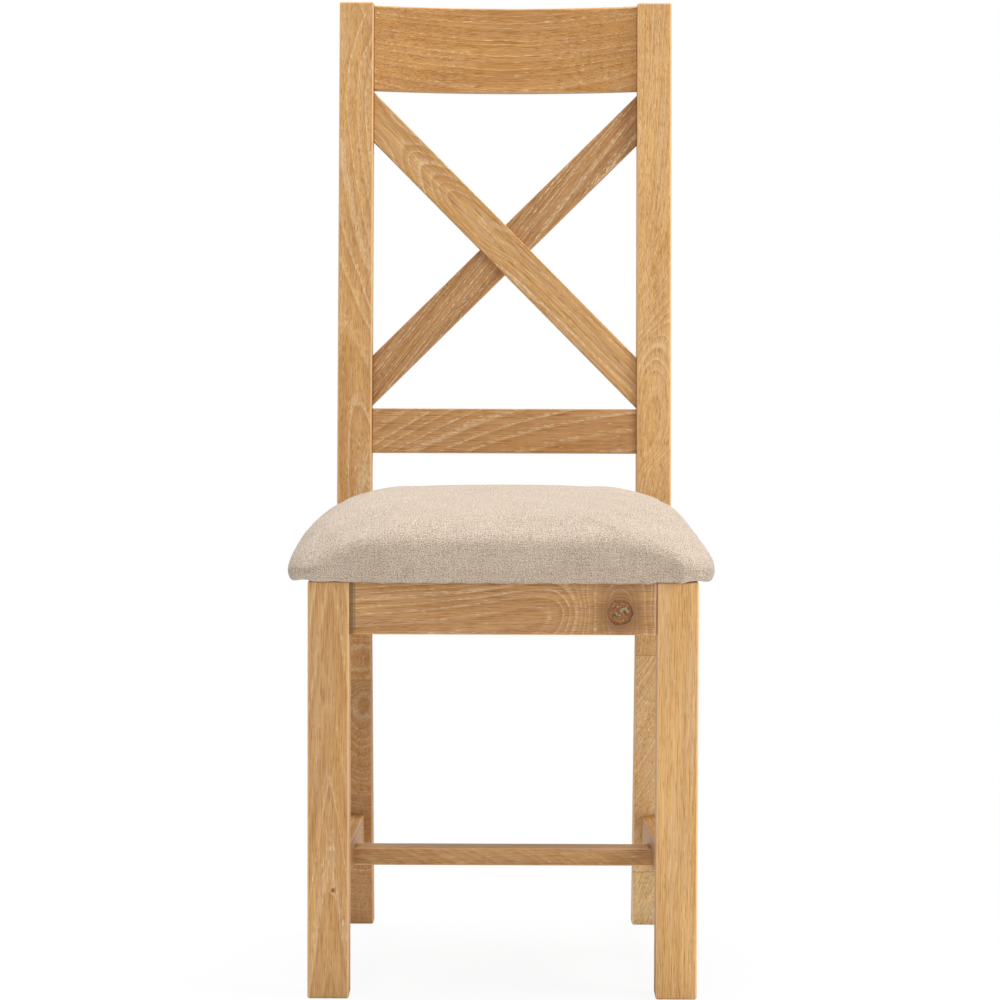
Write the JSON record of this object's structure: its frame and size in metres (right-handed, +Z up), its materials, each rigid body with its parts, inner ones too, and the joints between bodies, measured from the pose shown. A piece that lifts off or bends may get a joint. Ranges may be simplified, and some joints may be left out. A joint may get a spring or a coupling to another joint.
{
  "type": "dining chair",
  "caption": "Oak dining chair with a crossed-slat back, bowed top rail, raked back posts, low cross stretcher and a crowned linen-covered seat pad.",
  "frame": {"origin": "on the floor under the middle of the chair's bounding box", "axes": "+Z up, +Y from the front of the seat towards the back, +X to the sitter's left, which is the right of a picture taken from the front"},
  "size_m": [0.4496, 0.5189, 1.091],
  "materials": {
    "oak_front_leg": "satin oiled oak",
    "oak_back_post": "satin oiled oak",
    "oak_seat_rail": "satin oiled oak",
    "oak_stretcher": "satin oiled oak",
    "oak_cross_stretcher": "satin oiled oak",
    "oak_crest_rail": "satin oiled oak",
    "oak_back_rail": "satin oiled oak",
    "oak_slat": "satin oiled oak",
    "oak_block": "sawn oak",
    "seat_ply": "birch plywood",
    "pad_foam": "open-cell foam",
    "pad_cloth": "beige linen weave",
    "dust_cloth": "black spun-bonded cloth",
    "screw_steel": "zinc plated"
  },
  "bodies": {
    "root": {"front_leg_left": "oak_front_leg", "front_leg_right": "oak_front_leg", "back_post_left": "oak_back_post", "back_post_right": "oak_back_post", "front_rail": "oak_seat_rail", "rear_rail": "oak_seat_rail", "side_rail_left": "oak_seat_rail", "side_rail_right": "oak_seat_rail", "side_stretcher_left": "oak_stretcher", "side_stretcher_right": "oak_stretcher", "cross_stretcher": "oak_cross_stretcher", "crest_rail": "oak_crest_rail", "lower_back_rail": "oak_back_rail", "cross_slat_front": "oak_slat", "cross_slat_rear": "oak_slat", "corner_block_front_left": "oak_block", "corner_block_front_right": "oak_block", "corner_block_rear_left": "oak_block", "corner_block_rear_right": "oak_block", "seat_screws": "screw_steel", "seat_board": "seat_ply", "seat_foam": "pad_foam", "seat_cover": "pad_cloth", "seat_dust_cover": "dust_cloth"}
  },
  "joints": []
}
